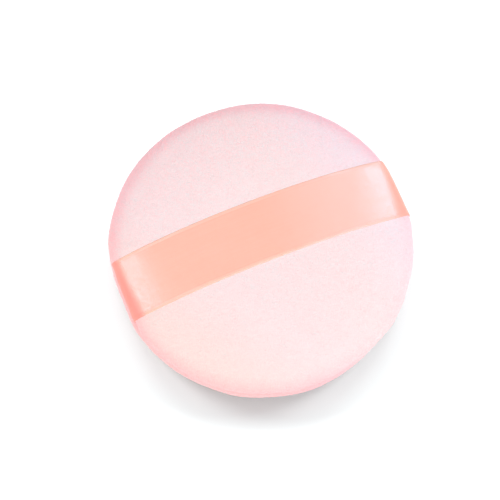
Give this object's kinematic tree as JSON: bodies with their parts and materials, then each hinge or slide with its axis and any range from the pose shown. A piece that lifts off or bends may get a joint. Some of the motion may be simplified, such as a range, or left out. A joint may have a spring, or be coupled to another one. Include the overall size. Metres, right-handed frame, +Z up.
{
  "type": "powder puff",
  "caption": "Round two-sided velour powder puff, filled with wadding, with a satin ribbon arched across its back as a finger loop.",
  "frame": {"origin": "middle of the flat that the puff rests on, on its applicator face, under the middle of its round outline", "axes": "+Z up out of the ribbon side, +X along the ribbon, +Y across the ribbon towards the side it lies nearer to"},
  "size_m": [0.0882, 0.09, 0.0214],
  "materials": {
    "velour": "short-pile cotton velour, pale pink, matt",
    "satin": "woven satin ribbon, peach pink, soft sheen across the weave",
    "wadding": "white polyester wadding",
    "thread": "spun sewing thread, pink"
  },
  "bodies": {
    "root": {"applicator_face": "velour", "hand_face": "velour", "wadding_core": "wadding", "finger_ribbon": "satin", "seam_needle_thread": "thread", "seam_bobbin_thread": "thread", "closing_thread": "thread"}
  },
  "joints": []
}
